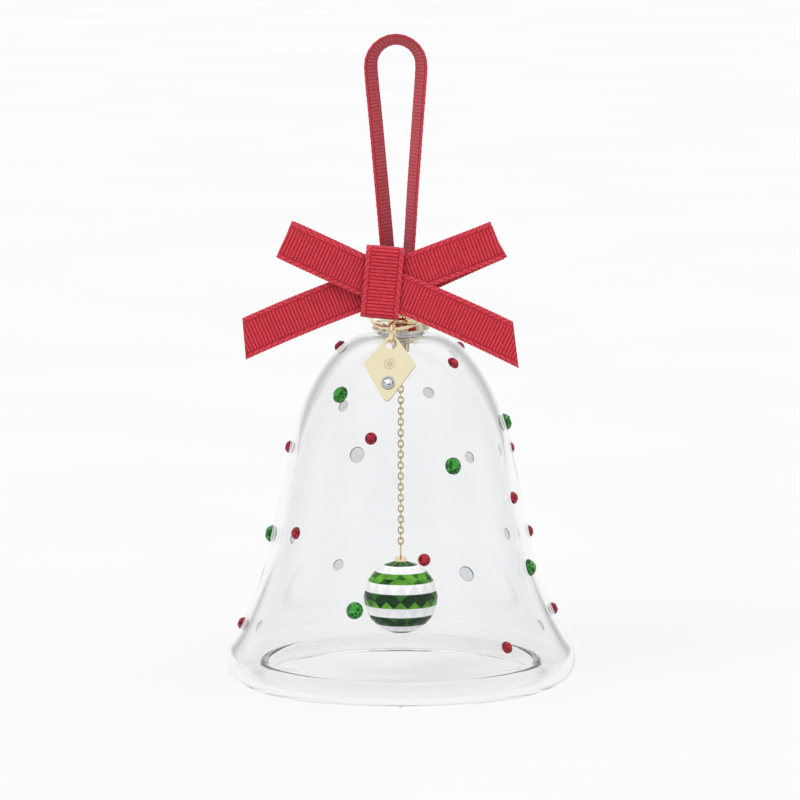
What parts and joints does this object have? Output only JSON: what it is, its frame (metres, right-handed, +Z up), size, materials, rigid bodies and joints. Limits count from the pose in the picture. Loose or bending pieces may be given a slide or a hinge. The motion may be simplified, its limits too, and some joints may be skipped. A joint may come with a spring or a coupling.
{
  "type": "christmas bell ornament",
  "caption": "Clear glass bell ornament with crystals on its outside, a faceted ball clapper on a chain, a metal tag and a ribbon bow with a hanging loop.",
  "frame": {"origin": "the bell's axis on the surface that its rim stands on", "axes": "+Z up along the bell's axis; -Y towards the front, where the bow and the tag are; +X to the right seen from the front"},
  "size_m": [0.09, 0.09, 0.1663],
  "materials": {
    "clear_glass": "clear blown glass",
    "gold_metal": "polished pale gold plate",
    "tag_metal": "satin pale gold plate",
    "steel": "turned",
    "clear_rubber": "clear soft washer",
    "green_crystal": "faceted, foiled back",
    "red_crystal": "faceted, foiled back",
    "clear_crystal": "faceted, foiled back",
    "banded_crystal": "faceted green crystal with white painted bands",
    "red_grosgrain": "ribbed grosgrain ribbon"
  },
  "bodies": {
    "bell": {"glass_bell": "clear_glass", "upper_gasket": "clear_rubber", "cap_drum": "gold_metal", "cap_collar": "gold_metal", "hanging_bail": "gold_metal", "threaded_post": "steel", "lower_gasket": "clear_rubber", "clamp_ferrule": "gold_metal", "clapper_eye": "gold_metal", "green_crystals_upper": "green_crystal", "green_crystals_middle": "green_crystal", "green_crystals_lower": "green_crystal", "red_crystals_upper": "red_crystal", "red_crystals_middle": "red_crystal", "red_crystals_lower": "red_crystal"},
    "ribbon": {"hanging_ribbon": "red_grosgrain", "bail_ribbon_loop": "red_grosgrain", "ribbon_tie": "red_grosgrain", "bow_knot": "red_grosgrain", "bow_loop_left": "red_grosgrain", "bow_loop_right": "red_grosgrain", "bow_tail_left": "red_grosgrain", "bow_tail_right": "red_grosgrain"},
    "upper_ring": {"bail_jump_ring": "gold_metal"},
    "lower_ring": {"tag_jump_ring": "gold_metal"},
    "tag": {"tag_plate": "tag_metal", "tag_bezel": "gold_metal", "tag_crystal": "clear_crystal"},
    "chain_top": {"chain_top_link": "gold_metal"},
    "chain_upper": {"chain_upper_links": "gold_metal"},
    "chain_mid": {"chain_mid_link": "gold_metal"},
    "chain_lower": {"chain_lower_links": "gold_metal"},
    "ball": {"ball_loop": "gold_metal", "ball_cap": "gold_metal", "ball_pin": "gold_metal", "crystal_ball": "banded_crystal"}
  },
  "joints": [
    {"name": "ribbon_swing", "type": "hinge", "parent": "bell", "child": "ribbon", "pos_m": [0, 0.0002, 0.099], "axis": [-1, 0, 0], "range_deg": [0, 80]},
    {"name": "tag_ring_sweep", "type": "hinge", "parent": "bell", "child": "upper_ring", "pos_m": [0, 0, 0.09735], "axis": [0, 0, 1], "range_deg": [-10, 18]},
    {"name": "lower_ring_swing", "type": "hinge", "parent": "upper_ring", "child": "lower_ring", "pos_m": [-0.00193, -0.01326, 0.0924], "axis": [-0.9895, 0.1444, 0], "range_deg": [0, 15]},
    {"name": "tag_swing", "type": "hinge", "parent": "lower_ring", "child": "tag", "pos_m": [-0.00209, -0.01435, 0.0914], "axis": [-0.9895, 0.1444, 0], "range_deg": [0, 70]},
    {"name": "clapper_sway", "type": "hinge", "parent": "bell", "child": "chain_top", "pos_m": [0, 0, 0.0826], "axis": [1, 0, 0], "range_deg": [-20, 20]},
    {"name": "clapper_swing", "type": "hinge", "parent": "chain_top", "child": "chain_upper", "pos_m": [0, 0, 0.0813], "axis": [0, 1, 0], "range_deg": [-20, 20]},
    {"name": "chain_fold_back", "type": "hinge", "parent": "chain_upper", "child": "chain_mid", "pos_m": [0, 0, 0.0603], "axis": [-1, 0, 0], "range_deg": [-35, 35]},
    {"name": "chain_fold_side", "type": "hinge", "parent": "chain_mid", "child": "chain_lower", "pos_m": [0, 0, 0.0589], "axis": [0, -1, 0], "range_deg": [-35, 35]},
    {"name": "ball_tilt", "type": "hinge", "parent": "chain_lower", "child": "ball", "pos_m": [0, 0, 0.0351], "axis": [1, 0, 0], "range_deg": [-40, 40]}
  ]
}
